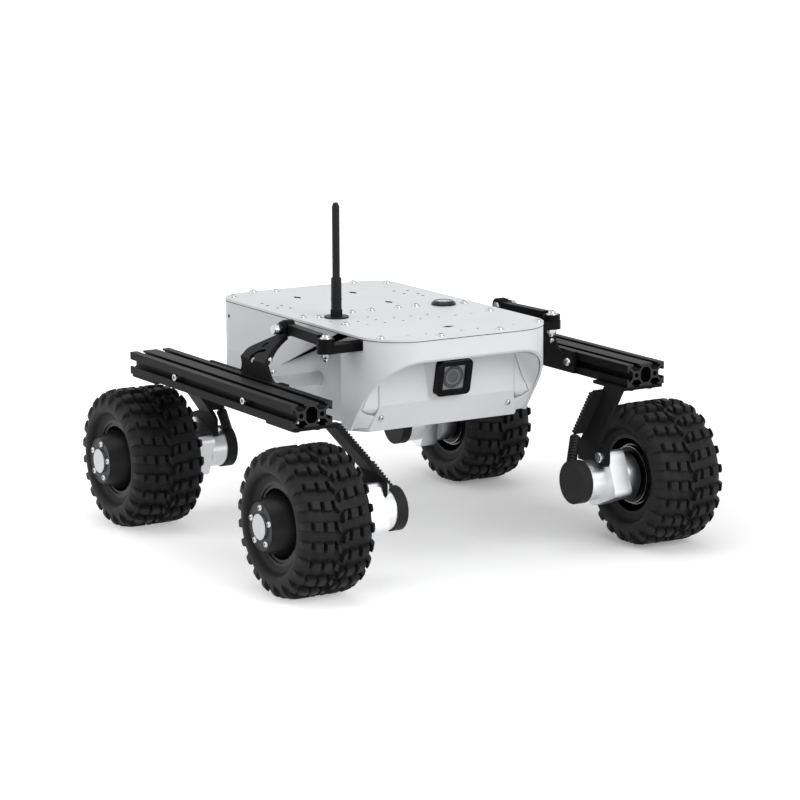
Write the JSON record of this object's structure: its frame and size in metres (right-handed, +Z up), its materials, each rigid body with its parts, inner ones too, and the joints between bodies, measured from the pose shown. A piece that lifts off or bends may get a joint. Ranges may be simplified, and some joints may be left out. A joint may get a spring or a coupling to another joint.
{
  "type": "planetary rover prototype",
  "caption": "Small planetary rover prototype: pale sheet-metal body slung between black rocker rails, lugged tyres on geared hub motors, a nose camera and an upright aerial.",
  "frame": {"origin": "on the ground, midway between the wheels", "axes": "+X forward (the camera's side), +Y the rover's left, +Z up"},
  "size_m": [0.433, 0.448, 0.3062],
  "materials": {
    "shell_paint": "satin powder coat, pale grey-white",
    "camera_black": "matte black",
    "lens_black": "glossy black",
    "window_glass": "clear, slightly grey",
    "antenna_black": "satin black",
    "button_blue": "dark ring with a blue centre",
    "battery_wrap": "plain wrap",
    "black_anodised": "black anodised, satin",
    "black_paint": "black powder coat, fine matte",
    "shaft_steel": "turned",
    "bright_metal": "turned, bright",
    "cap_black": "matte black",
    "tyre_rubber": "matte black",
    "rim_black": "satin black"
  },
  "bodies": {
    "chassis": {"top_plate": "shell_paint", "body_shell": "shell_paint", "nose_shell": "shell_paint", "nose_panel": "shell_paint", "camera_housing": "camera_black", "camera_lens": "lens_black", "camera_window": "window_glass", "antenna": "antenna_black", "power_button": "button_blue", "battery_pack": "battery_wrap", "differential_bar": "black_anodised", "differential_link_left": "black_anodised", "rocker_bracket_left": "black_paint", "rocker_profile_left": "black_anodised", "rocker_pivot_left": "shaft_steel", "differential_link_right": "black_anodised", "rocker_bracket_right": "black_paint", "rocker_profile_right": "black_anodised", "rocker_pivot_right": "shaft_steel", "motor_bracket_front_left": "black_paint", "motor_front_left": "bright_metal", "motor_cap_front_left": "cap_black", "motor_bracket_rear_left": "black_paint", "motor_rear_left": "bright_metal", "motor_cap_rear_left": "cap_black", "motor_bracket_front_right": "black_paint", "motor_front_right": "bright_metal", "motor_cap_front_right": "cap_black", "motor_bracket_rear_right": "black_paint", "motor_rear_right": "bright_metal", "motor_cap_rear_right": "cap_black"},
    "wheel_front_left": {"tyre_front_left": "tyre_rubber", "rim_front_left": "rim_black", "wheel_hub_front_left": "bright_metal"},
    "wheel_rear_left": {"tyre_rear_left": "tyre_rubber", "rim_rear_left": "rim_black", "wheel_hub_rear_left": "bright_metal"},
    "wheel_front_right": {"tyre_front_right": "tyre_rubber", "rim_front_right": "rim_black", "wheel_hub_front_right": "bright_metal"},
    "wheel_rear_right": {"tyre_rear_right": "tyre_rubber", "rim_rear_right": "rim_black", "wheel_hub_rear_right": "bright_metal"}
  },
  "joints": [
    {"name": "wheel_front_left_spin", "type": "hinge", "parent": "chassis", "child": "wheel_front_left", "pos_m": [0.1525, 0.179, 0.064], "axis": [0, 1, 0], "continuous": true},
    {"name": "wheel_rear_left_spin", "type": "hinge", "parent": "chassis", "child": "wheel_rear_left", "pos_m": [-0.1525, 0.179, 0.064], "axis": [0, 1, 0], "continuous": true},
    {"name": "wheel_front_right_spin", "type": "hinge", "parent": "chassis", "child": "wheel_front_right", "pos_m": [0.1525, -0.179, 0.064], "axis": [0, 1, 0], "continuous": true},
    {"name": "wheel_rear_right_spin", "type": "hinge", "parent": "chassis", "child": "wheel_rear_right", "pos_m": [-0.1525, -0.179, 0.064], "axis": [0, 1, 0], "continuous": true}
  ]
}
